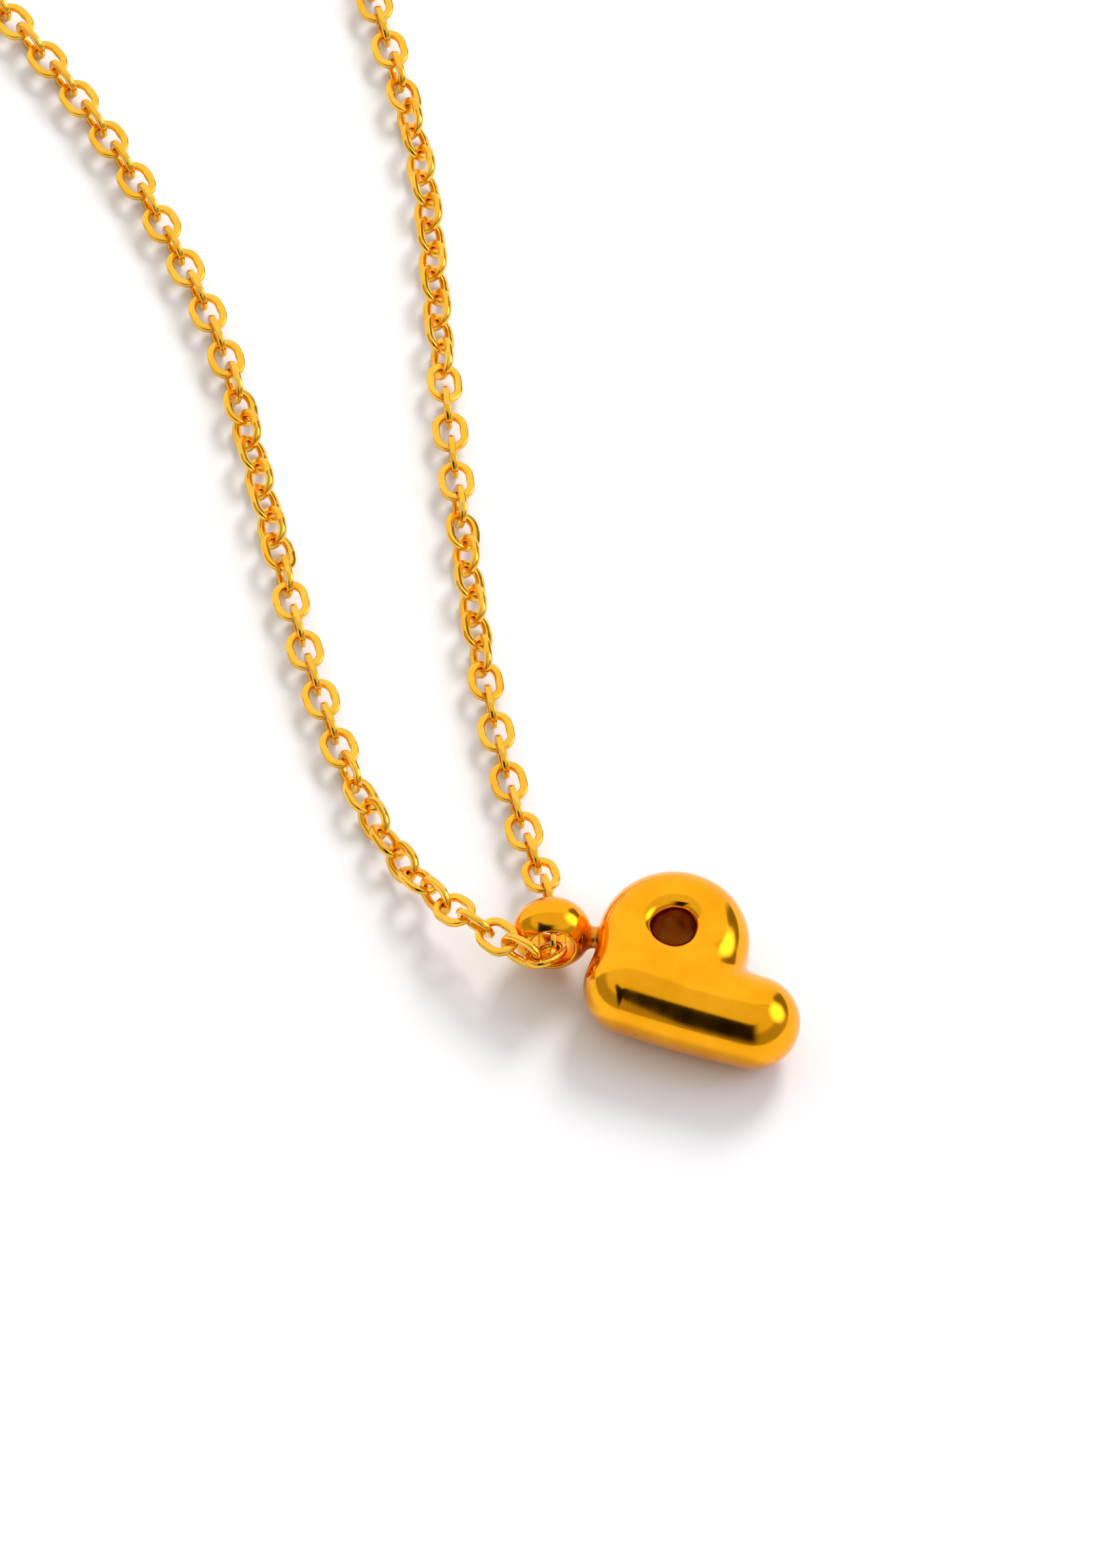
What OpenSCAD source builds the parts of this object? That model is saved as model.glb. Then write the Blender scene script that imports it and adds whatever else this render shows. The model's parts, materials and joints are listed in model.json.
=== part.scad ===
// Pendant necklace: a puffed letter pendant soldered to a bead bail, a fine cable chain that
// runs through the bail, and a lobster clasp with an extender. It lies unclasped on a flat
// surface, in an open loop. Every link is a separate closed ring, hooked through the next one.

/* [Chain link] */
// Outside length of a link
link_length = 2.55; // [2.5:0.01:2.6]
// Outside width of a link
link_width = 1.95; // [1.9:0.01:2.0]
// Diameter of the link wire
link_wire = 0.4; // [0.36:0.01:0.42]
// Free play between two hooked wires
play = 0.05; // [0.04:0.01:0.08]
// Sections in each strand, of six links each
sections = 18; // [16:1:18]

/* [Letter] */
// Height of the letter
letter_height = 12.3; // [12:0.1:12.6]
// Radius of the stem
stem_radius = 2.7; // [2.5:0.05:2.8]
// How far the top of the stem leans towards the bowl
stem_lean = 0.5; // [0:0.1:0.8]
// Middle of the bowl, to the right of the stem's axis and above the letter's foot
bowl_middle = [3.7, 8.0];
// Outside radius of the bowl
bowl_radius = 4.2; // [4:0.05:4.25]
// Radius of the hole through the bowl
counter_radius = 1.1; // [0.9:0.05:1.3]
// Half of the bowl's thickness
bowl_half_thickness = 2.6; // [2.2:0.05:2.7]
// Direction that the letter's top points in as it lies, in degrees from +X
letter_heading = 166; // [160:1:170]

/* [Bail] */
// Outside diameter of the bead
bead_diameter = 4.4; // [4.2:0.05:4.6]
// Length of the bead along its hole
bead_length = 3.0; // [2.8:0.05:3.1]
// Diameter of the hole that the chain runs through
bead_hole = 2.5; // [2.4:0.05:2.6]
// Tilt of the hole's front mouth, upwards
bead_tilt = 16; // [12:1:18]
// Middle of the bead, measured like bowl_middle
bead_middle = [2.9, 14.75];
// Radius of the solder joint between bead and letter
solder_radius = 0.75; // [0.5:0.05:0.9]

/* [Clasp] */
// Outside diameter of a jump ring
jump_diameter = 4.0; // [3.8:0.1:4.2]
// Diameter of the wire of the jump rings and of the extender
jump_wire = 0.6; // [0.55:0.01:0.62]
// Distance from the clasp's eye to the middle of its hook
clasp_reach = 6.9; // [6.7:0.1:7.2]
// Outside radius of the clasp's hook
hook_radius = 2.35; // [2.3:0.05:2.5]
// Thickness of the clasp
clasp_thickness = 2.2; // [2.2:0.05:2.4]
// Diameter of the lever's pin
pin_diameter = 0.6; // [0.55:0.01:0.65]

/* [Extender] */
// Outside length of an extender link
tail_length = 4.2; // [4.1:0.05:4.3]
// Outside width of an extender link
tail_width = 3.2; // [3.1:0.05:3.3]
// Links in each extender section
tail_links = [3, 4, 4, 4];
// Outside diameter of the ring that holds the drop
drop_ring_diameter = 3.2; // [3:0.1:3.3]
// Length of the drop below its eye
drop_length = 4.6; // [4.2:0.1:5]
// Diameter of the drop
drop_diameter = 2.8; // [2.6:0.1:3]

/* [Layout] */
// Heading of each strand, in degrees from +X: pairs of link number and angle
left_heading = [
    [0, -135], [1, -213], [2, -224], [3, -222], [4, -227], [6, -236], [9, -244], [13, -252],
    [18, -257],
    [26, -257], [31, -247], [36, -242], [44, -232], [56, -232], [66, -250], [78, -284],
    [92, -328], [102, -344], [111, -352]];
right_heading = [
    [0, 92], [1, 104], [3, 107], [8, 101], [13, 97], [20, 96], [28, 94], [33, 103], [38, 106],
    [44, 80], [50, 52], [64, 50], [76, 78], [88, 112], [100, 146], [111, 172]];
// Climb of each strand, in degrees: pairs of link number and angle
left_climb = [
    [0, 15], [1, -3], [2, -9], [3, -15], [4, -19], [5, -17], [6, -16], [7, -8.5], [8, -4], [9, 0],
    [102, 0], [103, 5]];
right_climb = [[0, -14], [1, -18], [2, -14], [3, -10], [4, -4], [5, 0], [102, 0], [103, 5]];
// Twist of each strand, in degrees: pairs of link number and angle
left_twist = [
    [0, 31], [1, 10], [2, -9], [3, -13], [4, 0], [6, 30], [8, 42], [10, 30], [12, 0], [18, 0],
    [21, 42], [25, 42], [28, 0]];
right_twist = [[9, 0], [12, 40], [15, 40], [18, 0], [21, 0], [24, 45], [32, 45], [36, 0]];
// Heading and climb of the clasp
clasp_heading = -358; // [-370:1:-350]
clasp_climb = -4; // [-6:1:0]
// Heading and climb of the extender, in degrees: pairs of link number and angle
tail_heading = [[0, 150], [5, 170], [16, 216]];
tail_climb = [[0, -2], [4, -2], [5, 0]];
// Middle of the lying necklace, measured from the bail
layout_middle = [-23.4, 81.25];

/* [Hidden] */
$fn = 48;
section_links = 6;
first_section = 3;
strand_links = first_section + sections * section_links;
bead_radius = bead_diameter / 2;
bead_at = [0, 0, stem_radius];
// How far the link inside the bead has slipped towards the front mouth, and sideways and up.
chain_slip = 0.44;
chain_shift = [0.1, 0, 0.22];
past = 1;

function section_names(side) = [for (i = [1:sections]) str(side, "_chain_", i < 10 ? "0" : "", i)];
left_names = section_names("left");
right_names = section_names("right");
tail_names = [for (i = [1:len(tail_links)]) str("extender_", i)];

gold = [0.93, 0.66, 0.17];
steel = [0.72, 0.72, 0.74];

// A strand's links alternate: odd ones stand upright and even ones lie flat. A route point is
// the middle of an upright link's end wire, so the chain bends there without binding.

function upright(k) = k % 2 == 1;
function along(heading, climb) =
    [cos(heading) * cos(climb), sin(heading) * cos(climb), sin(climb)];
function reach(k, length, wire) = upright(k) ? length - wire : length - 3 * wire - 2 * play;
function route(start, headings, climbs, links, length, wire) = [
    for (k = 0, p = start; k <= links;
        p = p + reach(k, length, wire) * along(lookup(k, headings), lookup(k, climbs)), k = k + 1)
        p];
function strand_route(front, headings, climbs) =
    route(chain_at + (link_length - link_wire) / 2 * front,
        headings, climbs, strand_links, link_length, link_wire);

function tail_before(section) =
    section == 0 ? 0 : tail_before(section - 1) + tail_links[section - 1];

bead_front = along(-90, bead_tilt);
chain_at = bead_at + chain_slip * bead_front + chain_shift;
left_points = strand_route(bead_front, left_heading, left_climb);
right_points = strand_route(-bead_front, right_heading, right_climb);
left_end = left_points[strand_links];
right_end = right_points[strand_links];
left_out = along(lookup(strand_links, left_heading), 0);
right_out = along(lookup(strand_links, right_heading), 0);
wire_step = (jump_wire - link_wire) / 2;
jump_reach = jump_diameter - jump_wire;
clasp_at = left_end + (jump_reach - wire_step) * left_out;
tail_at = right_end + (jump_reach - wire_step) * right_out;
tail_count = tail_before(len(tail_links));
no_twist = [[0, 0], [1, 0]];
tail_points = route(tail_at, tail_heading, tail_climb, tail_count, tail_length, jump_wire);
tail_out = along(lookup(tail_count, tail_heading), 0);
tail_end = tail_points[tail_count];

// Turns a piece that lies along +X and moves it to a place.
module aim(place, heading, climb, twist) {
    translate(place) rotate([0, -climb, heading]) rotate([twist, 0, 0]) children();
}

// The whole necklace is drawn from the bail and then moved so that its middle is the origin.
module laid() {
    translate([-layout_middle[0], -layout_middle[1], 0]) children();
}

module ring(middle_radius, wire, turn) {
    rotate_extrude(angle = turn) translate([middle_radius, 0]) circle(d = wire);
}

// A closed oval ring of round wire that lies flat along +X.
module link(length, width, wire) {
    bend = (width - wire) / 2;
    straight = length - width;
    for (end = [-1, 1]) {
        translate([end * straight / 2, 0, 0]) rotate([0, 0, -90 * end]) ring(bend, wire, 180);
        translate([-straight / 2, end * bend, 0]) rotate([0, 90, 0])
            cylinder(d = wire, h = straight);
    }
}

module links(points, headings, climbs, twists, first, count, length, width, wire) {
    for (k = [first:first + count - 1])
        aim((points[k] + points[k + 1]) / 2, lookup(k, headings), lookup(k, climbs),
            lookup(k, twists) + (upright(k) ? 90 : 0))
            link(length, width, wire);
}

module left_links(first, count) {
    links(left_points, left_heading, left_climb, left_twist, first, count,
        link_length, link_width, link_wire);
}

module right_links(first, count) {
    links(right_points, right_heading, right_climb, right_twist, first, count,
        link_length, link_width, link_wire);
}

// Chain

module centre_chain() {
    color(gold) laid() {
        left_links(0, first_section);
        right_links(0, first_section);
        aim(chain_at, -90, bead_tilt, 90) link(link_length, link_width, link_wire);
    }
}

module left_chain(section) {
    color(gold) laid() left_links(first_section + section * section_links, section_links);
}

module right_chain(section) {
    color(gold) laid() right_links(first_section + section * section_links, section_links);
}

module jump_ring(start, out) {
    color(gold) laid() translate(start + (jump_reach / 2 - wire_step) * out)
        rotate([0, 0, atan2(out[1], out[0])]) rotate([90, 0, 0]) ring(jump_reach / 2, jump_wire, 360);
}

// Pendant

// Places a shape drawn as an upright letter, with its foot on the X axis.
module letter_place() {
    translate(bead_at) rotate([0, 0, letter_heading - 90])
        translate([-bead_middle[0], -bead_middle[1], 0]) children();
}

module letter_shape() {
    half_stroke = (bowl_radius - counter_radius) / 2;
    stem_way = [stem_lean, letter_height - 2 * stem_radius];
    translate([0, stem_radius, 0]) rotate([0, 0, -atan2(stem_way[0], stem_way[1])]) {
        rotate([-90, 0, 0]) cylinder(r = stem_radius, h = norm(stem_way));
        sphere(r = stem_radius);
        translate([0, norm(stem_way), 0]) sphere(r = stem_radius);
    }
    translate(bowl_middle) rotate_extrude() translate([counter_radius + half_stroke, 0]) {
        flank = bowl_half_thickness - half_stroke;
        for (side = [-1, 1]) translate([0, side * flank]) circle(r = half_stroke);
        square([2 * half_stroke, 2 * flank], center = true);
    }
}

module bead_shape() {
    round_radius = bead_length / 2;
    bore_radius = bead_hole / 2;
    translate(bead_at) rotate([90 - bead_tilt, 0, 0]) rotate_extrude() difference() {
        translate([bead_radius - round_radius, 0]) circle(r = round_radius);
        translate([bore_radius - bead_diameter, -bead_radius]) square(bead_diameter);
    }
}

module letter_pendant() {
    color(gold) laid() letter_place() letter_shape();
}

module bail_bead() {
    color(gold) laid() bead_shape();
}

// A short stub from the bead's side into the bowl's side.
module solder_joint() {
    sunk = 0.4;
    stub = 1.2;
    letter_way = bowl_middle - bead_middle;
    color(gold) laid() difference() {
        letter_place() translate(bead_middle)
            rotate([0, 90, atan2(letter_way[1], letter_way[0])])
                translate([0, 0, bead_radius - sunk]) cylinder(r = solder_radius, h = stub);
        bead_shape();
        letter_place() letter_shape();
    }
}

// Clasp, drawn along +X from the jump ring's wire and lying flat

eye_radius = 1.0;
eye_wire = 0.7;
eye_middle = eye_radius - (eye_wire + jump_wire) / 2 - play;
neck_radius = 1.25;
neck_at = eye_middle + 2;
hook_at = eye_middle + clasp_reach;
hook_band = 1.05;
hook_steps = 16;
opening_radius = 0.55;
pivot = [neck_at + 1, 0.75];
opening_at = pivot[0] + 1.5;
gap_corner = [pivot[0] + 1.3, 0.1];
lever_length = 4.85;
lever_root = [0.1, 1.5];
boss_radius = 0.75;
thumb_radius = 0.6;
thumb_at = pivot + [0.5, 1.25];
lever_gap = 0.08;
lever_floor = -0.25;
lever_roof = 0.65;
slot_corner = [pivot[0] - 0.95, -0.15];
slot_length = 3;
slot_floor = -0.8;
slot_roof = 0.7;
pin_play = 0.04;
coil_wire = 0.22;
coil_play = 0.15;
leg_wire = 0.18;
leg_length = 0.35;

module clasp_place() {
    laid() aim(clasp_at, clasp_heading, clasp_climb, 0) children();
}

// Where the sides of a teardrop touch its circles, as an angle from its axis.
function lean(x1, r1, x2, r2) = acos((r1 - r2) / (x2 - x1));

// The outline around two circles on the X axis.
module teardrop(x1, r1, x2, r2) {
    turn = lean(x1, r1, x2, r2);
    side = [cos(turn), sin(turn)];
    translate([x1, 0]) circle(r = r1);
    translate([x2, 0]) circle(r = r2);
    polygon([
        [x1 + r1 * side[0], r1 * side[1]], [x2 + r2 * side[0], r2 * side[1]],
        [x2 + r2 * side[0], -r2 * side[1]], [x1 + r1 * side[0], -r1 * side[1]]]);
}

module clasp_outline() {
    teardrop(neck_at, neck_radius, hook_at, hook_radius);
}

module clasp_opening() {
    teardrop(opening_at, opening_radius, hook_at, hook_radius - hook_band);
}

module slab(low, high) {
    translate([0, 0, low]) linear_extrude(high - low) children();
}

// The gap in the hook that the lever closes, with its end in an arc around the pivot.
module hook_gap() {
    intersection() {
        translate(pivot) circle(r = lever_length + lever_gap);
        translate(gap_corner) square([lever_length, hook_radius + past]);
    }
}

module clasp_body() {
    half = clasp_thickness / 2;
    color(gold) clasp_place() {
        difference() {
            union() {
                translate([eye_middle, 0, 0]) ring(eye_radius, eye_wire, 360);
                slab(-half, half) difference() {
                    clasp_outline();
                    translate([eye_middle, 0]) circle(r = eye_radius);
                }
            }
            slab(-half - past, half + past) clasp_opening();
            slab(-half - past, half + past) hook_gap();
            slab(slot_floor, slot_roof)
                translate(slot_corner) square([slot_length, hook_radius + past]);
            translate([pivot[0], pivot[1], -half - past])
                cylinder(d = pin_diameter, h = clasp_thickness + 2 * past);
        }
    }
}

function hook_arc(radius, from, to) = [
    for (i = [0:hook_steps])
        let (turn = from + (to - from) * i / hook_steps)
            [hook_at + radius * cos(turn), radius * sin(turn)]];

// The lever is the part of the outline over the hook's gap, with a boss on the pin and a thumb.
module clasp_lever() {
    inner_radius = hook_radius - hook_band;
    arm = concat(
        [[pivot[0], lever_root[1]]],
        hook_arc(hook_radius, lean(neck_at, neck_radius, hook_at, hook_radius), 60),
        hook_arc(inner_radius, 45, lean(opening_at, opening_radius, hook_at, inner_radius)),
        [[gap_corner[0], opening_radius], [pivot[0], lever_root[0]]]);
    color(gold) clasp_place() difference() {
        union() {
            slab(lever_floor, lever_roof) intersection() {
                polygon(arm);
                translate(pivot) circle(r = lever_length);
            }
            slab(lever_floor, lever_roof) translate(pivot) circle(r = boss_radius);
            slab(lever_floor, lever_roof) translate(thumb_at) circle(r = thumb_radius);
        }
        slab(lever_floor - past, lever_roof + past)
            translate(pivot) circle(d = pin_diameter + 2 * pin_play);
    }
}

module clasp_pin() {
    color(steel) clasp_place() translate([pivot[0], pivot[1], -clasp_thickness / 2])
        cylinder(d = pin_diameter, h = clasp_thickness);
}

// A coil around the pin, with a leg that points at the slot's back wall.
module clasp_spring() {
    coil_radius = (pin_diameter + coil_wire) / 2 + coil_play;
    color(steel) clasp_place()
        translate([pivot[0], pivot[1], lever_floor - coil_wire / 2 - coil_play]) {
            ring(coil_radius, coil_wire, 360);
            rotate([0, -90, 0]) translate([0, 0, coil_radius])
                cylinder(d = leg_wire, h = leg_length);
        }
}

// Extender

module extender(section) {
    color(gold) laid() links(tail_points, tail_heading, tail_climb, no_twist,
        tail_before(section), tail_links[section], tail_length, tail_width, jump_wire);
}

drop_ring_reach = drop_ring_diameter - jump_wire;
drop_eye_radius = 0.8;
drop_eye_wire = 0.5;
drop_tip_radius = 0.3;

module drop_ring() {
    color(gold) laid() translate(tail_end + drop_ring_reach / 2 * tail_out)
        rotate([0, 0, atan2(tail_out[1], tail_out[0])]) rotate([90, 0, 0])
            ring(drop_ring_reach / 2, jump_wire, 360);
}

// A teardrop on an eye: the eye lies flat around the ring's wire.
module end_drop() {
    eye_at = drop_eye_radius - (drop_eye_wire + jump_wire) / 2 - play;
    tip = eye_at + drop_eye_radius;
    ball = tip + drop_length - drop_diameter / 2;
    color(gold) laid() translate(tail_end + drop_ring_reach * tail_out)
        rotate([0, 0, atan2(tail_out[1], tail_out[0])]) {
            translate([eye_at, 0, 0]) ring(drop_eye_radius, drop_eye_wire, 360);
            difference() {
                rotate([0, 90, 0]) rotate_extrude() intersection() {
                    rotate([0, 0, 90]) teardrop(tip, drop_tip_radius, ball, drop_diameter / 2);
                    square(2 * (ball + drop_diameter));
                }
                translate([eye_at, 0, 0])
                    cylinder(r = drop_eye_radius, h = drop_diameter, center = true);
            }
        }
}

letter_pendant();
bail_bead();
solder_joint();
centre_chain();
for (i = [0:sections - 1]) left_chain(i);
for (i = [0:sections - 1]) right_chain(i);
jump_ring(left_end, left_out);  // left_jump_ring
clasp_body();
clasp_lever();
clasp_pin();
clasp_spring();
jump_ring(right_end, right_out);  // right_jump_ring
for (i = [0:len(tail_links) - 1]) extender(i);
drop_ring();
end_drop();
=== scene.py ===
import json
import math
from itertools import product

import bpy
import numpy as np
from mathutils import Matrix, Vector


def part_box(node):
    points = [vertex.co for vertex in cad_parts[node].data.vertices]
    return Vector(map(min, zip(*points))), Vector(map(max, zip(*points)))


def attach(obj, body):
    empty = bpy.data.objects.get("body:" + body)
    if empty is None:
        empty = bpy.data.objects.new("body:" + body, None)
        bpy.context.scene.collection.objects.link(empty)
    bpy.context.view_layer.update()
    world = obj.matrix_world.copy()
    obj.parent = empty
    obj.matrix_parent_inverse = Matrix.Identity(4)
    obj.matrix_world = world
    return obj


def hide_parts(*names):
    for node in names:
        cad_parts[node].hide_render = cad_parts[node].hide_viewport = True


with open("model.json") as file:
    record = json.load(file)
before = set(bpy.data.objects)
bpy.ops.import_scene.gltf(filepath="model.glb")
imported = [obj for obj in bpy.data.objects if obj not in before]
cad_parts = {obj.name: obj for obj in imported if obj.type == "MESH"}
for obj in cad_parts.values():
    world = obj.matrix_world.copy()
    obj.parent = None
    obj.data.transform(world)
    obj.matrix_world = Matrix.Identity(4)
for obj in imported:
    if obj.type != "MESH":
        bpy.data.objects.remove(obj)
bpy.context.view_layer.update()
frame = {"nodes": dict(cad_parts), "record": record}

MM = 0.001
UP = np.array([0, 0, 1.0])
BODY_OF = {
    node: body
    for body, members in frame["record"]["behaviour"]["bodies"].items()
    for node in members
}


# ---------------------------------------------------------------------------------------------
# Directions and places, all in millimetres

def direction(heading, climb):
    """Unit vector at an angle from +X and above the floor, in degrees."""
    turn, rise = math.radians(heading), math.radians(climb)
    return np.array([
        math.cos(turn) * math.cos(rise), math.sin(turn) * math.cos(rise), math.sin(rise)])


def turned(heading, climb):
    """Matrix whose columns are the axes of a piece that points along a heading and climb."""
    forward = direction(heading, climb)
    side = direction(heading + 90, 0)
    return np.column_stack([forward, side, np.cross(forward, side)])


def placed(points, axes, origin):
    """Points of a piece's own frame, put where its axes and origin are."""
    return points @ axes.T + origin


def cad_points(node):
    """The corners of a CAD node's mesh."""
    mesh = frame["nodes"][node].data
    points = np.empty(len(mesh.vertices) * 3)
    mesh.vertices.foreach_get("co", points)
    return points.reshape(-1, 3) / MM


SAME_POINT = 1e-4


def cad_solids(node):
    """The points of each separate solid of a CAD node, found by spreading labels over faces."""
    points = cad_points(node)
    mesh = frame["nodes"][node].data
    corners = np.empty(len(mesh.loops), int)
    mesh.loops.foreach_get("vertex_index", corners)
    grid = np.round(points / SAME_POINT).astype(np.int64)
    unique, place = np.unique(grid, axis=0, return_inverse=True)
    place = place.ravel()
    triangles = place[corners.reshape(-1, 3)]
    label = np.arange(len(unique))
    while True:
        lowest = label[triangles].min(axis=1)
        merged = label.copy()
        for corner in range(3):
            np.minimum.at(merged, triangles[:, corner], lowest)
        merged = merged[merged]
        if (merged == label).all():
            break
        label = merged
    own = label[place]
    return [points[own == part] for part in np.unique(own)]


def principal(points):
    """Centre, axes (longest first) and size of a symmetric solid."""
    axes = np.linalg.svd(points - points.mean(axis=0), full_matrices=False)[2]
    if np.linalg.det(axes) < 0:
        axes[2] = -axes[2]
    across = points @ axes.T
    low, high = across.min(axis=0), across.max(axis=0)
    return (low + high) / 2 @ axes, axes.T, high - low


# ---------------------------------------------------------------------------------------------
# Mesh building

def make_piece(name, points, faces, material, nodes, normals=None):
    """A mesh piece that stands for CAD nodes of one body and rides on it."""
    mesh = bpy.data.meshes.new(name)
    mesh.from_pydata((np.asarray(points) * MM).tolist(), [], [list(face) for face in faces])
    mesh.shade_smooth()
    if normals is not None:
        mesh.normals_split_custom_set_from_vertices(np.asarray(normals).tolist())
    mesh.materials.append(material)
    piece = bpy.data.objects.new(name, mesh)
    bpy.context.scene.collection.objects.link(piece)
    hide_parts(*nodes)
    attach(piece, BODY_OF[nodes[0]])


def joined(parts):
    """One list of points and one of faces from several."""
    points, faces, start = [], [], 0
    for part_points, part_faces in parts:
        points.append(part_points)
        faces += [[corner + start for corner in face] for face in part_faces]
        start += len(part_points)
    return np.vstack(points), faces


def tube(rings, closed):
    """Quads along a row of point rings, closed into a loop or with a cap at each end."""
    count, steps = len(rings), len(rings[0])
    faces = []
    for row in range(count if closed else count - 1):
        after = (row + 1) % count
        for step in range(steps):
            beside = (step + 1) % steps
            faces.append([
                row * steps + step, row * steps + beside,
                after * steps + beside, after * steps + step])
    if not closed:
        faces.append(list(range(steps))[::-1])
        faces.append([(count - 1) * steps + step for step in range(steps)])
    return np.vstack(rings), faces


ELLIPSE = 2.0


def wire_section(half_width, half_height, squareness=ELLIPSE, steps=16):
    """Outline of a wire's cross-section; above ELLIPSE its sides are flatter and squarer."""
    angles = np.arange(steps) * 2 * math.pi / steps
    power = ELLIPSE / squareness
    return np.column_stack([
        half_width * np.sign(np.cos(angles)) * np.abs(np.cos(angles)) ** power,
        half_height * np.sign(np.sin(angles)) * np.abs(np.sin(angles)) ** power])


def swept(place, section, outward):
    """A wire's cross-section set upright at a place, facing outwards."""
    return place + np.outer(section[:, 0], outward) + np.outer(section[:, 1], UP)


def oval_path(length, width, wire, bend_steps, side_steps):
    """Points around a link's middle line, with the outward direction at each."""
    bend = (width - wire) / 2
    straight = (length - width) / 2
    places, outward = [], []
    for end in (1, -1):
        for step in range(bend_steps + 1):
            angle = math.pi * (step / bend_steps - 0.5)
            out = end * np.array([math.cos(angle), math.sin(angle), 0.0])
            places.append(out * bend + [end * straight, 0, 0])
            outward.append(out)
        for step in range(1, side_steps):
            along = straight * (1 - 2 * step / side_steps)
            places.append(np.array([end * along, end * bend, 0]))
            outward.append(np.array([0, float(end), 0]))
    return places, outward


SEAM_REACH = 0.4


def link_mesh(length, width, wire, section, seam_swell):
    """An oval link with a slightly swollen solder seam in the middle of one side."""
    places, outward = oval_path(length, width, wire, bend_steps=14, side_steps=6)
    seam = np.array([0, -(width - wire) / 2, 0])
    rings = []
    for place, out in zip(places, outward):
        near = math.exp(-((np.linalg.norm(place - seam) / (SEAM_REACH * wire)) ** 2))
        rings.append(swept(place, section * (1 + seam_swell * near), out))
    return tube(rings, closed=True)


RING_STEPS = 72
RING_END_PINCH = 0.12
RING_SPRING_POWER = 6


def split_ring_mesh(radius, wire, gap, spring):
    """A round ring cut through at one place, with its ends a little out of line."""
    section = wire_section(wire / 2, wire / 2)
    half_gap = gap / (2 * radius)
    rings = []
    for step in range(RING_STEPS + 1):
        share = step / RING_STEPS
        angle = half_gap + share * (2 * math.pi - 2 * half_gap)
        out = np.array([math.cos(angle), math.sin(angle), 0.0])
        steps_from_end = min(share, 1 - share) * RING_STEPS
        pinch = 1 - RING_END_PINCH * max(0.0, 1 - steps_from_end)
        rise = spring * (share - 0.5) * abs(2 * share - 1) ** RING_SPRING_POWER
        rings.append(swept(out * radius + rise * UP, section * pinch, out))
    return tube(rings, closed=False)


def lathe_mesh(profile, steps, closed):
    """A profile of (along, radius) points turned around +X."""
    rings = []
    for step in range(steps):
        angle = 2 * math.pi * step / steps
        spoke = np.array([0, math.cos(angle), math.sin(angle)])
        rings.append(np.array([[along, 0, 0] + radius * spoke for along, radius in profile]))
    points = np.vstack(rings)
    size = len(profile)
    faces = []
    for step in range(steps):
        after = (step + 1) % steps
        for row in range(size if closed else size - 1):
            beside = (row + 1) % size
            faces.append([
                step * size + row, after * size + row, after * size + beside, step * size + beside])
    if not closed:
        faces.append([step * size for step in range(steps)][::-1])
        faces.append([step * size + size - 1 for step in range(steps)])
    return points, faces


SLOPE_REACH = 0.002


def slope(field, points):
    """Gradient of a distance field."""
    columns = []
    for axis in range(3):
        step = np.zeros(3)
        step[axis] = SLOPE_REACH
        columns.append((field(points + step) - field(points - step)) / (2 * SLOPE_REACH))
    return np.column_stack(columns)


SETTLING_STEPS = 8
LEAST_SLOPE_SQUARED = 0.05


def surface_of(field, low, high, cell):
    """Mesh of a distance field's zero surface inside a box, and its normals.

    Each grid cell that the surface crosses gets one point, which then settles on the surface.
    Each grid edge that it crosses gets one face, between the four cells around that edge.
    """
    low, high = np.array(low, float), np.array(high, float)
    counts = np.ceil((high - low) / cell).astype(int) + 3
    start = low - cell
    grid = np.stack(np.meshgrid(*[np.arange(n) for n in counts], indexing="ij"), axis=-1)
    inside = (field(start + grid.reshape(-1, 3) * cell) < 0).reshape(counts)
    some = np.zeros(counts - 1, bool)
    every = np.ones(counts - 1, bool)
    for corner in product((0, 1), repeat=3):
        part = inside[tuple(slice(c, n - 1 + c) for c, n in zip(corner, counts))]
        some |= part
        every &= part
    mixed = some & ~every
    index = np.full(mixed.shape, -1)
    index[mixed] = np.arange(mixed.sum())
    points = start + (np.argwhere(mixed) + 0.5) * cell
    for _ in range(SETTLING_STEPS):
        gradient = slope(field, points)
        size = np.maximum((gradient ** 2).sum(axis=1), LEAST_SLOPE_SQUARED)
        step = gradient * (field(points) / size)[:, None]
        points = points - np.clip(step, -cell, cell)
    faces = []
    for axis in range(3):
        near = np.moveaxis(inside, axis, 0)
        cells = np.moveaxis(index, axis, 0)
        i, j, k = np.nonzero(near[:-1, 1:-1, 1:-1] != near[1:, 1:-1, 1:-1])
        quads = np.column_stack([
            cells[i, j, k], cells[i, j + 1, k], cells[i, j + 1, k + 1], cells[i, j, k + 1]])
        backwards = near[i + 1, j + 1, k + 1] ^ (axis == 1)
        quads[backwards] = quads[backwards][:, ::-1]
        faces += quads.tolist()
    normals = slope(field, points)
    normals /= np.linalg.norm(normals, axis=1)[:, None]
    return points, faces, normals


def blended(one, other, reach):
    """Smooth union of two distances."""
    overlap = np.maximum(reach - np.abs(one - other), 0) / reach
    return np.minimum(one, other) - overlap ** 2 * reach / 4


def carved(solid, tool, reach):
    """Smooth difference of two distances."""
    return -blended(-solid, tool, reach)


def capsule(points, start, end, radius):
    """Distance to a round bar with ball ends."""
    start, end = np.array(start, float), np.array(end, float)
    way = end - start
    share = np.clip((points - start) @ way / (way @ way), 0, 1)
    return np.linalg.norm(points - start - share[:, None] * way, axis=1) - radius


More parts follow.
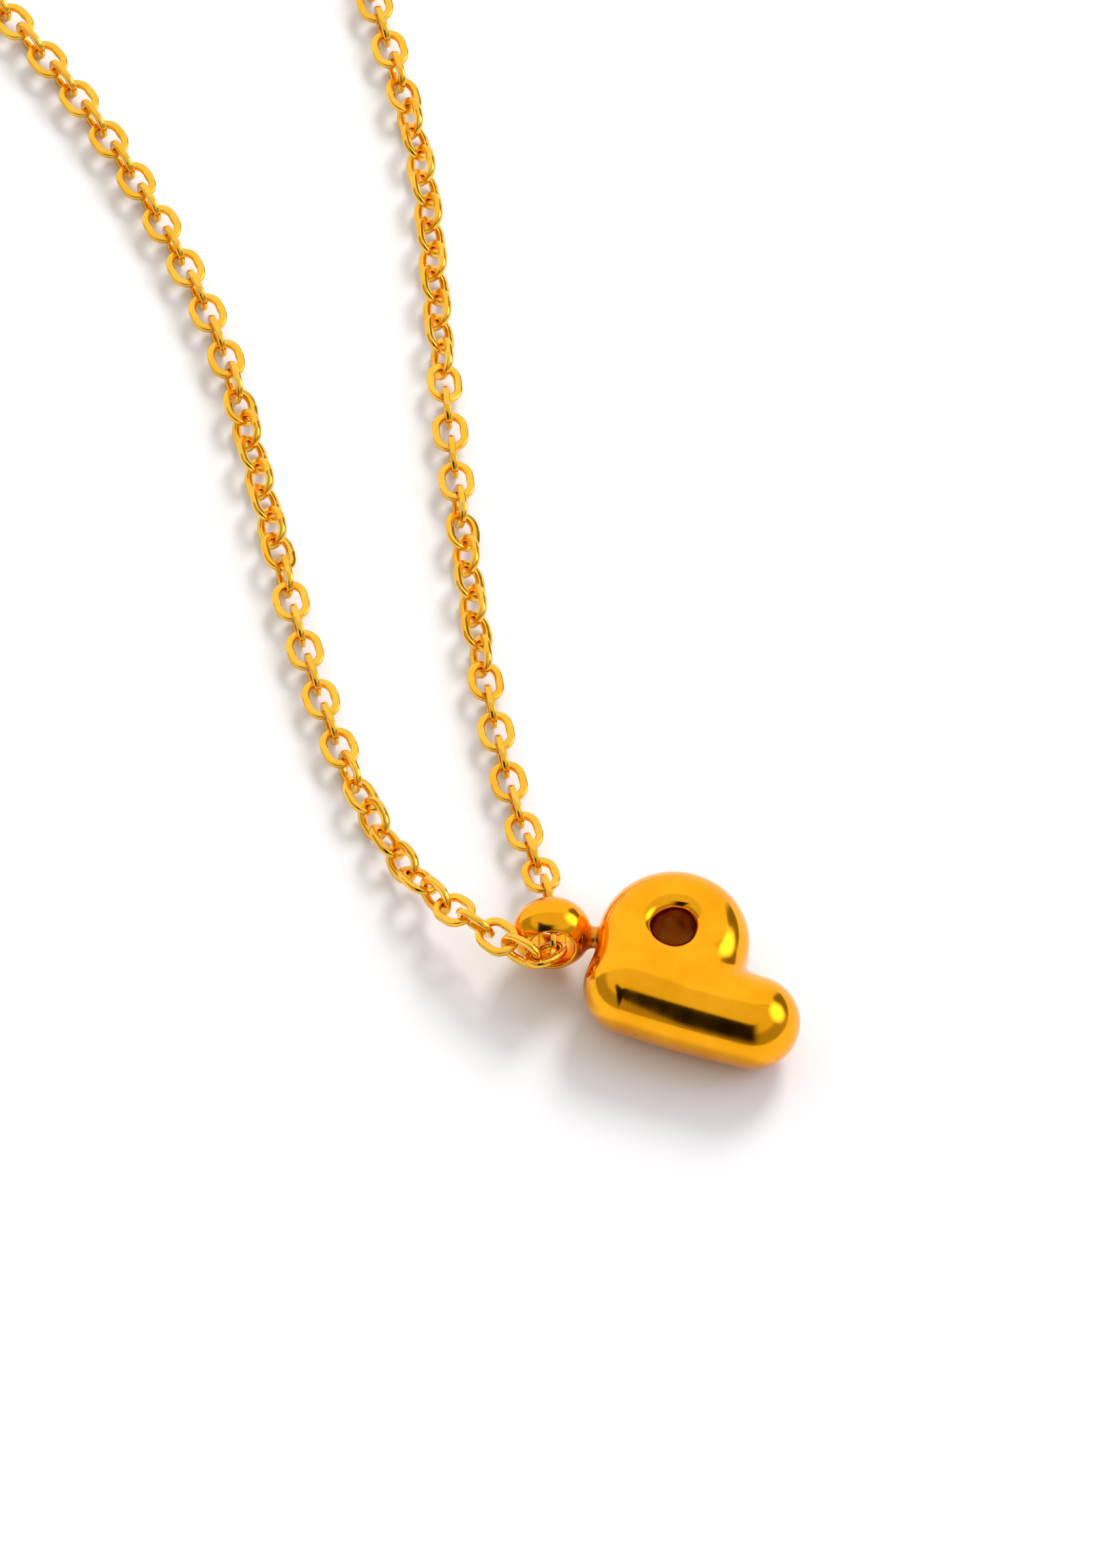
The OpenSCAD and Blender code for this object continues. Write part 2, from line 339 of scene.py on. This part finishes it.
def teardrop(along, across, start, start_radius, end, end_radius):
    """Distance to the outline around two circles on one axis."""
    across = np.abs(across)
    along = along - start
    length = end - start
    lean = (start_radius - end_radius) / length
    level = math.sqrt(1 - lean * lean)
    where = along * level - across * lean
    return np.where(
        where < 0, np.hypot(across, along) - start_radius,
        np.where(
            where > level * length, np.hypot(across, along - length) - end_radius,
            across * level + along * lean - start_radius))


def slab(flat, height, half, rounding):
    """A flat outline made into a solid with rounded edges."""
    side, top = flat + rounding, np.abs(height) - half + rounding
    outside = np.hypot(np.maximum(side, 0), np.maximum(top, 0))
    return outside + np.minimum(np.maximum(side, top), 0) - rounding


# ---------------------------------------------------------------------------------------------
# Materials

def add_node(tree, kind, **values):
    """A shader node with sockets and settings given by name."""
    node = tree.nodes.new(kind)
    for name, value in values.items():
        if name in node.inputs:
            node.inputs[name].default_value = value
        else:
            setattr(node, name, value)
    return node


def mapped(tree, value, start, end, **settings):
    """A value taken from one range of numbers to another."""
    node = add_node(
        tree, "ShaderNodeMapRange", **settings,
        **{"From Min": start[0], "From Max": start[1], "To Min": end[0], "To Max": end[1]})
    tree.links.new(value, node.inputs["Value"])
    return node.outputs["Result"]


# Texture scales are per metre
CLOUDS = dict(Scale=420.0, Detail=4.0, Roughness=0.6)
CLOUD_EDGES = (0.35, 0.65)
SMUDGES = dict(Scale=900.0, Detail=6.0, Roughness=0.7)
SMUDGE_EDGES = (0.35, 0.7)
POLISH_LINES = dict(Scale=1.0, Detail=3.0, Roughness=0.5)
POLISH_TURN = (0.3, 0.5, 1.1)
POLISH_STRETCH = np.array([1, 0.06, 0.3])
PITTING = dict(Scale=1100.0, Randomness=1.0)
PITTING_EDGES = (0.0, 0.12)
PITTING_DEPTHS = (-0.6, 0.0)
BUMP_STRENGTH = 0.25


def metal(name, slot, dark, light, roughness, marks, mark_depth):
    """Polished metal: cloudy tone, smudged gloss, fine polishing lines and tiny pits."""
    material = bpy.data.materials.new(name)
    material.use_nodes = True
    material["slot"] = slot
    tree = material.node_tree
    link = tree.links.new
    shader = tree.nodes["Principled BSDF"]
    shader.inputs["Metallic"].default_value = 1.0
    place = add_node(tree, "ShaderNodeTexCoord")

    clouds = add_node(tree, "ShaderNodeTexNoise", **CLOUDS)
    link(place.outputs["Object"], clouds.inputs["Vector"])
    tone = add_node(tree, "ShaderNodeValToRGB")
    for element, edge, colour in zip(tone.color_ramp.elements, CLOUD_EDGES, (dark, light)):
        element.position = edge
        element.color = (*colour, 1)
    link(clouds.outputs["Fac"], tone.inputs["Fac"])
    link(tone.outputs["Color"], shader.inputs["Base Color"])

    smudges = add_node(tree, "ShaderNodeTexNoise", **SMUDGES)
    link(place.outputs["Object"], smudges.inputs["Vector"])
    gloss = mapped(tree, smudges.outputs["Fac"], SMUDGE_EDGES, roughness)
    link(gloss, shader.inputs["Roughness"])

    stretch = add_node(
        tree, "ShaderNodeMapping", Rotation=POLISH_TURN, Scale=tuple(marks * POLISH_STRETCH))
    link(place.outputs["Object"], stretch.inputs["Vector"])
    lines = add_node(tree, "ShaderNodeTexNoise", **POLISH_LINES)
    link(stretch.outputs["Vector"], lines.inputs["Vector"])
    pits = add_node(tree, "ShaderNodeTexVoronoi", **PITTING)
    link(place.outputs["Object"], pits.inputs["Vector"])
    height = add_node(tree, "ShaderNodeMath", operation="ADD")
    link(lines.outputs["Fac"], height.inputs[0])
    hollow = mapped(tree, pits.outputs["Distance"], PITTING_EDGES, PITTING_DEPTHS)
    link(hollow, height.inputs[1])
    bump = add_node(tree, "ShaderNodeBump", Strength=BUMP_STRENGTH, Distance=mark_depth)
    link(height.outputs["Value"], bump.inputs["Height"])
    link(bump.outputs["Normal"], shader.inputs["Normal"])
    return material


pendant_gold = metal(
    "pendant_gold", "polished_gold", (0.90, 0.37, 0.006), (1.0, 0.44, 0.012),
    roughness=(0.10, 0.19), marks=9000.0, mark_depth=0.000004)
solder_gold = metal(
    "solder_gold", "polished_gold", (0.55, 0.17, 0.012), (0.85, 0.36, 0.03),
    roughness=(0.22, 0.40), marks=5000.0, mark_depth=0.00001)
chain_gold = metal(
    "chain_gold", "chain_gold", (0.90, 0.47, 0.035), (1.0, 0.57, 0.07),
    roughness=(0.12, 0.22), marks=12000.0, mark_depth=0.000003)
findings_gold = metal(
    "findings_gold", "findings_gold", (0.90, 0.39, 0.025), (1.0, 0.48, 0.045),
    roughness=(0.12, 0.22), marks=9000.0, mark_depth=0.000004)
spring_steel = metal(
    "spring_steel", "spring_steel", (0.50, 0.50, 0.52), (0.62, 0.62, 0.63),
    roughness=(0.18, 0.32), marks=9000.0, mark_depth=0.000003)


# ---------------------------------------------------------------------------------------------
# Chain: each link is laid over its CAD link

def links_on(node, section_of, seam_swell):
    """One mesh of a node's links, with the seams on alternate sides."""
    parts = []
    for number, solid in enumerate(cad_solids(node)):
        centre, axes, size = principal(solid)
        length, width, wire = size
        if number % 2:
            axes = axes * [-1, -1, 1]
        points, faces = link_mesh(length, width, wire, section_of(wire), seam_swell)
        parts.append((placed(points, axes, centre), faces))
    return joined(parts)


PRESSED_OUT = 0.06
PRESSED_HALF_HEIGHT = 0.46
PRESSED_SQUARENESS = 4.2


def flattened(wire):
    """Chain wire is pressed flat: wider outwards than it is thick, with crisp edges."""
    outward = PRESSED_OUT * wire
    section = wire_section(wire / 2 + outward, PRESSED_HALF_HEIGHT * wire, PRESSED_SQUARENESS)
    return section + [outward, 0]


def round_wire(wire):
    """Extender wire keeps its round section."""
    return wire_section(wire / 2, wire / 2)


for node in sorted(n for n in frame["nodes"] if "chain" in n):
    points, faces = links_on(node, flattened, seam_swell=0.10)
    make_piece(f"{node}_links", points, faces, chain_gold, [node])

for node in sorted(n for n in frame["nodes"] if n.startswith("extender")):
    points, faces = links_on(node, round_wire, seam_swell=0.06)
    make_piece(f"{node}_links", points, faces, findings_gold, [node])

for node in ("left_jump_ring", "right_jump_ring", "drop_ring"):
    centre, axes, size = principal(cad_points(node))
    wire = size[2]
    points, faces = split_ring_mesh((size[0] - wire) / 2, wire, gap=0.06, spring=0.16)
    make_piece(f"{node}_wire", placed(points, axes, centre), faces, findings_gold, [node])


# ---------------------------------------------------------------------------------------------
# Pendant. The letter's own frame has its foot at the origin, X across it and Y up it.

LETTER_HEADING = 166
STEM_LEAN = 0.5
STEM_BULGE = 0.12
BOWL_MIDDLE = np.array([3.7, 8.0, 0])
BOWL_RADIUS = 4.2
BOWL_HALF_THICKNESS = 2.6
BOWL_EDGE = 2.15
STEM_FILLET = 1.0
FACE_FLATNESS = 0.3
HOLE_RADIUS = 1.12
HOLE_LIP = 0.9
# Unevenness of the hole's cast wall: height, waves around it and turn per millimetre of depth
HOLE_WAVES = ((0.03, 3, 1.3), (0.006, 7, -4))
# Casting pits: middle and radius
PITS = (((-2.26, 8.63, -0.51), 0.17), ((-1.86, 0.76, -0.17), 0.11))
PIT_LIP = 0.12
LETTER_CELL = 0.13

letter_axes = turned(LETTER_HEADING - 90, 0)
letter_across = cad_points("letter_pendant") @ letter_axes
letter_low, letter_high = letter_across.min(axis=0), letter_across.max(axis=0)
stem_radius = (letter_high[2] - letter_low[2]) / 2
letter_height = letter_high[1] - letter_low[1]
letter_origin = letter_axes @ (letter_low + [stem_radius, 0, stem_radius])


def letter_field(points):
    """A fat stem blended into a puffed ring, with an uneven hole and two pits."""
    end_radius = stem_radius - STEM_BULGE
    foot = (0, end_radius, 0)
    top = (STEM_LEAN, letter_height - end_radius, 0)
    share = np.clip((points[:, 1] - foot[1]) / (top[1] - foot[1]), 0, 1)
    stem = capsule(points, foot, top, end_radius) - STEM_BULGE * 4 * share * (1 - share)
    x, y, z = (points - BOWL_MIDDLE).T
    from_middle = np.hypot(x, y)
    disc = slab(from_middle - BOWL_RADIUS, z, BOWL_HALF_THICKNESS, BOWL_EDGE)
    letter = blended(stem, disc, STEM_FILLET)
    letter = carved(letter, stem_radius - np.abs(z), FACE_FLATNESS)
    hole = from_middle - HOLE_RADIUS
    for height, waves, turn in HOLE_WAVES:
        hole = hole - height * np.sin(waves * np.arctan2(y, x) + turn * z)
    letter = carved(letter, hole, HOLE_LIP)
    for middle, radius in PITS:
        letter = carved(letter, np.linalg.norm(points - middle, axis=1) - radius, PIT_LIP)
    return letter


points, faces, normals = surface_of(
    letter_field, (-stem_radius, 0, -stem_radius),
    (BOWL_MIDDLE[0] + BOWL_RADIUS, letter_height, stem_radius), LETTER_CELL)
make_piece(
    "letter_casting", placed(points, letter_axes, letter_origin), faces, pendant_gold,
    ["letter_pendant"], normals @ letter_axes.T)

BEAD_TILT = 16
BEAD_HALF_LENGTH = 1.5
BEAD_HOLE_RADIUS = 1.25
BEAD_LIP = 0.12
BULGE_STEPS, LIP_STEPS, HOLE_STEPS = 40, 8, 12
BEAD_TURNS = 112

bead_low, bead_high = (np.array(corner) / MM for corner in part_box("bail_bead"))
bead_middle = (bead_low + bead_high) / 2
bead_axes = turned(-90, BEAD_TILT)
bead_radius = (bead_high[0] - bead_low[0]) / 2


def bead_profile():
    """Round outside, straight hole and a small rolled lip at each mouth."""
    bulge_at = bead_radius - BEAD_HALF_LENGTH
    lip_at = BEAD_HOLE_RADIUS + BEAD_LIP
    mouth = math.sqrt((BEAD_HALF_LENGTH - BEAD_LIP) ** 2 - (lip_at - bulge_at) ** 2)
    lip_angle = math.atan2(mouth, lip_at - bulge_at)
    profile = []
    for step in range(BULGE_STEPS + 1):
        angle = lip_angle * (1 - 2 * step / BULGE_STEPS)
        profile.append((
            BEAD_HALF_LENGTH * math.sin(angle), bulge_at + BEAD_HALF_LENGTH * math.cos(angle)))
    lip = []
    for step in range(1, LIP_STEPS + 1):
        angle = lip_angle + (math.pi - lip_angle) * step / LIP_STEPS
        lip.append((mouth + BEAD_LIP * math.sin(angle), lip_at + BEAD_LIP * math.cos(angle)))
    profile += [(-along, radius) for along, radius in lip]
    for step in range(1, HOLE_STEPS):
        profile.append((mouth * (2 * step / HOLE_STEPS - 1), BEAD_HOLE_RADIUS))
    return profile + lip[::-1]


points, faces = lathe_mesh(bead_profile(), BEAD_TURNS, closed=True)
faces = [face[::-1] for face in faces]
make_piece(
    "bail_bead_shell", placed(points, bead_axes, bead_middle), faces, pendant_gold,
    ["bail_bead"])

SUNK_IN_BEAD, SUNK_IN_BOWL = 0.45, 0.35
SOLDER_WAIST, SOLDER_FLARE, FLARE_POWER = 0.62, 0.5, 2.2
RIPPLE_HEIGHT, RIPPLE_PACE = 0.02, 9
SOLDER_STEPS, SOLDER_TURNS = 16, 48

solder_way = placed(BOWL_MIDDLE, letter_axes, letter_origin) - bead_middle
solder_axes = turned(math.degrees(math.atan2(solder_way[1], solder_way[0])), 0)
solder_start = bead_radius - SUNK_IN_BEAD
solder_end = np.linalg.norm(solder_way[:2]) - BOWL_RADIUS + SUNK_IN_BOWL


def solder_profile():
    """A waisted fillet between the two rounded sides."""
    profile = []
    for step in range(SOLDER_STEPS + 1):
        share = step / SOLDER_STEPS
        flare = SOLDER_FLARE * abs(2 * share - 1) ** FLARE_POWER
        ripple = RIPPLE_HEIGHT * math.sin(RIPPLE_PACE * share)
        along = solder_start + (solder_end - solder_start) * share
        profile.append((along, SOLDER_WAIST + flare + ripple))
    return profile


points, faces = lathe_mesh(solder_profile(), SOLDER_TURNS, closed=False)
make_piece(
    "solder_fillet", placed(points, solder_axes, bead_middle), faces, solder_gold,
    ["solder_joint"])


# ---------------------------------------------------------------------------------------------
# Clasp, in its own frame: +X from the jump ring's wire towards the hook, Z along the pin

CLASP_HEADING, CLASP_CLIMB = 2, -4
EYE_AT, EYE_RADIUS, EYE_WIRE = 0.3, 1.0, 0.7
NECK_AT, NECK_RADIUS = 2.3, 1.25
HOOK_AT, HOOK_RADIUS, HOOK_BAND = 7.2, 2.35, 1.05
CLASP_HALF = 1.1
BODY_EDGE, EYE_BLEND, EYE_CUT = 0.42, 0.3, 0.1
PIVOT = np.array([3.3, 0.75])
OPENING_AT, OPENING_RADIUS = 4.8, 0.55
GAP_X, GAP_Y = 4.6, 0.1
LEVER_LENGTH, LEVER_GAP = 4.85, 0.08
LEVER_FLOOR, LEVER_ROOF = -0.25, 0.65
SLOT_X, SLOT_LENGTH, SLOT_Y = 2.35, 3.0, -0.15
SLOT_FLOOR, SLOT_ROOF = -0.8, 0.7
PIN_RADIUS, PIN_PLAY = 0.3, 0.04
BOSS_RADIUS, THUMB_RADIUS = 0.75, 0.6
THUMB = PIVOT + [0.5, 1.25]
LEVER_EDGE, THUMB_BLEND = 0.16, 0.35
GRIP_GROOVES, GROOVE_RADIUS = (-0.22, 0.0, 0.22), 0.05
CASTING_CELL, LEVER_CELL = 0.085, 0.06
LEVER_MARGIN = 0.1

clasp_axes = turned(CLASP_HEADING, CLASP_CLIMB)
pin_low, pin_high = (np.array(corner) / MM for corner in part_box("clasp_pin"))
pin_middle = (pin_low + pin_high) / 2
clasp_origin = pin_middle - clasp_axes @ [*PIVOT, 0]


def clasp_outline(x, y):
    """Outside of the clasp, seen along its pin."""
    return teardrop(x, y, NECK_AT, NECK_RADIUS, HOOK_AT, HOOK_RADIUS)


def clasp_opening(x, y):
    """The space that the hook encloses."""
    return teardrop(x, y, OPENING_AT, OPENING_RADIUS, HOOK_AT, HOOK_RADIUS - HOOK_BAND)


def clasp_field(points):
    """The hook with its eye, and a slot for the lever and the spring."""
    x, y, z = points.T
    from_pivot = np.hypot(x - PIVOT[0], y - PIVOT[1])
    gap = np.maximum.reduce([from_pivot - LEVER_LENGTH - LEVER_GAP, GAP_X - x, GAP_Y - y])
    flat = np.maximum.reduce([clasp_outline(x, y), -clasp_opening(x, y), -gap])
    body = slab(flat, z, CLASP_HALF, BODY_EDGE)
    from_eye = np.hypot(x - EYE_AT, y)
    eye = np.hypot(from_eye - EYE_RADIUS, z) - EYE_WIRE / 2
    body = np.maximum(body, EYE_RADIUS - EYE_CUT - from_eye)
    body = blended(body, eye, EYE_BLEND)
    slot = np.maximum.reduce([
        SLOT_X - x, x - SLOT_X - SLOT_LENGTH, SLOT_Y - y, SLOT_FLOOR - z, z - SLOT_ROOF])
    body = np.maximum(body, -slot)
    return np.maximum(body, PIN_RADIUS - from_pivot)


def lever_field(points):
    """The arm that closes the hook, with a boss on the pin and a grooved thumb."""
    x, y, z = points.T
    from_pivot = np.hypot(x - PIVOT[0], y - PIVOT[1])
    rise = (OPENING_RADIUS - GAP_Y) / (GAP_X - PIVOT[0])
    underside = np.minimum(GAP_Y + rise * (x - PIVOT[0]), OPENING_RADIUS)
    arm = np.maximum.reduce([
        clasp_outline(x, y), -clasp_opening(x, y), from_pivot - LEVER_LENGTH,
        underside - y, PIVOT[0] - x])
    thumb = np.hypot(x - THUMB[0], y - THUMB[1]) - THUMB_RADIUS
    flat = blended(np.minimum(arm, from_pivot - BOSS_RADIUS), thumb, THUMB_BLEND)
    half = (LEVER_ROOF - LEVER_FLOOR) / 2
    lever = slab(flat, z - (LEVER_ROOF + LEVER_FLOOR) / 2, half, LEVER_EDGE)
    for along in GRIP_GROOVES:
        groove = np.hypot(x - THUMB[0] - along, y - THUMB[1] - THUMB_RADIUS) - GROOVE_RADIUS
        lever = np.maximum(lever, -groove)
    return np.maximum(lever, PIN_RADIUS + PIN_PLAY - from_pivot)


points, faces, _ = surface_of(
    clasp_field, (EYE_AT - EYE_RADIUS - EYE_WIRE / 2, -HOOK_RADIUS, -CLASP_HALF),
    (HOOK_AT + HOOK_RADIUS, HOOK_RADIUS, CLASP_HALF), CASTING_CELL)
make_piece(
    "clasp_casting", placed(points, clasp_axes, clasp_origin), faces, findings_gold,
    ["clasp_body"])
points, faces, _ = surface_of(
    lever_field,
    (PIVOT[0] - BOSS_RADIUS, PIVOT[1] - BOSS_RADIUS - LEVER_MARGIN, LEVER_FLOOR),
    (PIVOT[0] + LEVER_LENGTH, THUMB[1] + THUMB_RADIUS, LEVER_ROOF), LEVER_CELL)
make_piece(
    "clasp_lever_casting", placed(points, clasp_axes, clasp_origin), faces, findings_gold,
    ["clasp_lever"])

PIN_DOME, PIN_HEAD_SWELL, PIN_HEAD_EDGE = 0.1, 0.06, 0.02
DOME_STEPS, PIN_TURNS = 8, 40


def pin_profile():
    """A straight pin with a low riveted dome at each end."""
    half = []
    for step in range(DOME_STEPS + 1):
        angle = math.pi / 2 * step / DOME_STEPS
        half.append((
            -CLASP_HALF - PIN_DOME * math.cos(angle),
            PIN_HEAD_EDGE + (PIN_RADIUS + PIN_HEAD_SWELL) * math.sin(angle)))
    half.append((-CLASP_HALF + PIN_HEAD_EDGE, PIN_RADIUS))
    return half + [(-along, radius) for along, radius in half[::-1]]


points, faces = lathe_mesh(pin_profile(), PIN_TURNS, closed=False)
make_piece(
    "clasp_pin_rivet", placed(points, clasp_axes[:, [2, 0, 1]], pin_middle), faces,
    spring_steel, ["clasp_pin"])

COIL_WIRE, COIL_RADIUS, COIL_PITCH, COIL_TURNS = 0.17, 0.56, 0.18, 1.6
COIL_STEPS, COIL_SECTION_STEPS = 72, 12
COIL_TOP = np.array([*PIVOT, -0.40])
LEG_REACH, LEG_SIDE = 0.28, 0.16
LEG_OUTWARD = (-0.5, -0.86, 0)


def spring_rings():
    """Wire sections down a coil around the pin and out along its leg."""
    section = wire_section(COIL_WIRE / 2, COIL_WIRE / 2, steps=COIL_SECTION_STEPS)
    rings = []
    for step in range(COIL_STEPS + 1):
        turns_left = COIL_TURNS * (1 - step / COIL_STEPS)
        angle = math.pi - 2 * math.pi * turns_left
        out = np.array([math.cos(angle), math.sin(angle), 0.0])
        middle = COIL_TOP + COIL_RADIUS * out - COIL_PITCH * turns_left * UP
        rings.append(swept(middle, section, out))
    leg_end = COIL_TOP + [-COIL_RADIUS - LEG_REACH, LEG_SIDE, 0]
    rings.append(swept(leg_end, section, LEG_OUTWARD))
    return rings


points, faces = tube(spring_rings(), closed=False)
make_piece(
    "clasp_spring_coil", placed(points, clasp_axes, clasp_origin), faces, spring_steel,
    ["clasp_spring"])


# ---------------------------------------------------------------------------------------------
# End drop, in its own frame: +X from its eye to its ball

DROP_EYE_RADIUS, DROP_EYE_WIRE = 0.8, 0.5
DROP_TIP_RADIUS, DROP_LENGTH = 0.3, 4.6
DROP_BLEND = 0.35
CLEARLY_THINNER = 0.1
drop_centre, drop_axes, drop_size = principal(cad_points("end_drop"))
drop_radius = drop_size[2] / 2
drop_spread = (cad_points("end_drop") - drop_centre) @ drop_axes
front_half_width = np.abs(drop_spread[drop_spread[:, 0] > 0, 1]).max()
if front_half_width < drop_radius - CLEARLY_THINNER:
    drop_axes = drop_axes * [-1, -1, 1]
drop_eye = -drop_size[0] / 2 + DROP_EYE_RADIUS + DROP_EYE_WIRE / 2
drop_tip = drop_eye + DROP_EYE_RADIUS
drop_ball = drop_tip + DROP_LENGTH - drop_radius
drop_upright_axis = 2 if abs(drop_axes[2, 2]) > abs(drop_axes[2, 1]) else 1


def drop_field(points):
    """A long drop blended into a flat-lying eye."""
    x = points[:, 0]
    up = points[:, drop_upright_axis]
    side = points[:, 3 - drop_upright_axis]
    drop = teardrop(x, np.hypot(side, up), drop_tip, DROP_TIP_RADIUS, drop_ball, drop_radius)
    from_eye = np.hypot(x - drop_eye, side)
    eye = np.hypot(from_eye - DROP_EYE_RADIUS, up) - DROP_EYE_WIRE / 2
    whole = blended(drop, eye, DROP_BLEND)
    return np.maximum(whole, DROP_EYE_RADIUS - DROP_EYE_WIRE / 2 - from_eye)


half = drop_size[0] / 2
points, faces, normals = surface_of(
    drop_field, (-half, -drop_radius, -drop_radius), (half, drop_radius, drop_radius),
    CASTING_CELL)
make_piece(
    "end_drop_casting", placed(points, drop_axes, drop_centre), faces, findings_gold,
    ["end_drop"], normals @ drop_axes.T)


# ---------------------------------------------------------------------------------------------
# Floor, light and camera

FLOOR_HALF = 30.0
PAPER_GREY = 0.86
PAPER_ROUGHNESS = 0.9

floor_mesh = bpy.data.meshes.new("floor")
floor_mesh.from_pydata(
    [(-FLOOR_HALF, -FLOOR_HALF, 0), (FLOOR_HALF, -FLOOR_HALF, 0),
     (FLOOR_HALF, FLOOR_HALF, 0), (-FLOOR_HALF, FLOOR_HALF, 0)], [], [(0, 1, 2, 3)])
floor = bpy.data.objects.new("floor", floor_mesh)
bpy.context.scene.collection.objects.link(floor)
floor_paper = bpy.data.materials.new("pale_paper")
floor_paper.use_nodes = True
paper = floor_paper.node_tree.nodes["Principled BSDF"]
paper.inputs["Base Color"].default_value = (PAPER_GREY, PAPER_GREY, PAPER_GREY, 1)
paper.inputs["Roughness"].default_value = PAPER_ROUGHNESS
paper.inputs["Specular IOR Level"].default_value = 0.0
floor_mesh.materials.append(floor_paper)

# The studio around the object: a colour for each thing, and where its soft edges lie. An edge
# is the two values between which a thing fades in, of a direction's X, Y or Z or of how far
# the direction goes along another one (PERSON_SLANT, WINDOW_WAY).
ROOM = (0.46, 0.43, 0.38)
CEILING = (0.85, 0.83, 0.79)
CEILING_EDGE = (0.45, 0.6)
BACK_WALL = (1.10, 1.08, 1.03)
BACK_WALL_EDGE = (0.30, 0.34)
SHELF = (0.24, 0.22, 0.10)
SHELF_LEFT, SHELF_FRONT, SHELF_TOP = (0.56, 0.66), (0.16, 0.30), (0.60, 0.46)
PERSON = (0.012, 0.009, 0.008)
PERSON_SLANT = (1, 0, 0.22)
PERSON_LEFT, PERSON_RIGHT = (-0.44, -0.41), (0.30, -0.10)
PERSON_FOOT, PERSON_TOP, PERSON_BACK = (-0.1, 0.3), (0.82, 0.78), (-0.25, -0.35)
WINDOW = (2.8, 2.85, 3.9)
WINDOW_WAY = (0.84, 0.10, 0.54)
WINDOW_EDGE = (0.90, 1.0)


def fading(tree, value, edge):
    """Share that goes from 0 to 1 as a value goes across an edge."""
    return mapped(tree, value, edge, (0.0, 1.0), interpolation_type="SMOOTHSTEP")


def overlap(tree, first, *others):
    """Product of several shares."""
    for other in others:
        node = add_node(tree, "ShaderNodeMath", operation="MULTIPLY")
        tree.links.new(first, node.inputs[0])
        tree.links.new(other, node.inputs[1])
        first = node.outputs["Value"]
    return first


def toned(tree, under, share, colour):
    """Mixes a colour over another one, or over what another mix gives."""
    mix = add_node(tree, "ShaderNodeMix", data_type="RGBA")
    under_input, over_input = [i for i in mix.inputs if i.type == "RGBA"]
    if isinstance(under, tuple):
        under_input.default_value = (*under, 1)
    else:
        tree.links.new(under, under_input)
    over_input.default_value = (*colour, 1)
    tree.links.new(share, mix.inputs["Factor"])
    return next(o for o in mix.outputs if o.type == "RGBA")


def towards(tree, way, aim):
    """How far the looked-in direction goes along another one."""
    dot = add_node(tree, "ShaderNodeVectorMath", operation="DOT_PRODUCT")
    tree.links.new(way, dot.inputs[0])
    dot.inputs[1].default_value = aim
    return dot.outputs["Value"]


def studio_world():
    """A soft studio: bright wall behind, pale ceiling, dark person in front, window glow."""
    world = bpy.data.worlds.new("studio")
    world.use_nodes = True
    tree = world.node_tree
    way = add_node(tree, "ShaderNodeTexCoord").outputs["Generated"]
    x = towards(tree, way, (1, 0, 0))
    y = towards(tree, way, (0, 1, 0))
    z = towards(tree, way, (0, 0, 1))
    colour = toned(tree, ROOM, fading(tree, z, CEILING_EDGE), CEILING)
    colour = toned(tree, colour, fading(tree, y, BACK_WALL_EDGE), BACK_WALL)
    shelf = overlap(
        tree, fading(tree, x, SHELF_LEFT), fading(tree, y, SHELF_FRONT),
        fading(tree, z, SHELF_TOP))
    colour = toned(tree, colour, shelf, SHELF)
    person = overlap(
        tree, fading(tree, towards(tree, way, PERSON_SLANT), PERSON_LEFT),
        fading(tree, x, PERSON_RIGHT), fading(tree, z, PERSON_FOOT),
        fading(tree, z, PERSON_TOP), fading(tree, y, PERSON_BACK))
    colour = toned(tree, colour, person, PERSON)
    window = fading(tree, towards(tree, way, WINDOW_WAY), WINDOW_EDGE)
    colour = toned(tree, colour, window, WINDOW)
    tree.links.new(colour, tree.nodes["Background"].inputs["Color"])
    bpy.context.scene.world = world


KEY_WAY = Vector((0.35, 0.70, 0.70)).normalized()
KEY_DISTANCE = 0.9
KEY_SIZE = 0.3
KEY_POWER = 4.5


def key_light():
    """A square soft light that faces the bail and isn't seen in the metal."""
    light = bpy.data.lights.new("key_light", "AREA")
    light.size = KEY_SIZE
    light.energy = KEY_POWER
    lamp = bpy.data.objects.new("key_light", light)
    bpy.context.scene.collection.objects.link(lamp)
    lamp.location = Vector(bead_middle * MM) + KEY_WAY * KEY_DISTANCE
    lamp.rotation_euler = KEY_WAY.to_track_quat("Z", "Y").to_euler()
    lamp.visible_glossy = False


studio_world()
key_light()

VIEW_ELEVATION = 58
VIEW_DISTANCE = 600
VIEW_ANGLE = 8.26
AIM_RIGHT, AIM_UP = 0.13, 8.23
NEAREST_SEEN = 0.01

view_back = direction(-90, VIEW_ELEVATION)
view_up = direction(90, 90 - VIEW_ELEVATION)
aim = bead_middle + AIM_RIGHT * direction(0, 0) + AIM_UP * view_up
camera_data = bpy.data.cameras.new("camera")
camera_data.sensor_fit = "VERTICAL"
camera_data.angle = math.radians(VIEW_ANGLE)
camera_data.clip_start = NEAREST_SEEN
camera = bpy.data.objects.new("camera", camera_data)
bpy.context.scene.collection.objects.link(camera)
camera.location = Vector((aim + VIEW_DISTANCE * view_back) * MM)
camera.rotation_euler = Vector(view_back).to_track_quat("Z", "Y").to_euler()
bpy.context.scene.camera = camera
bpy.context.scene.view_settings.view_transform = "Standard"
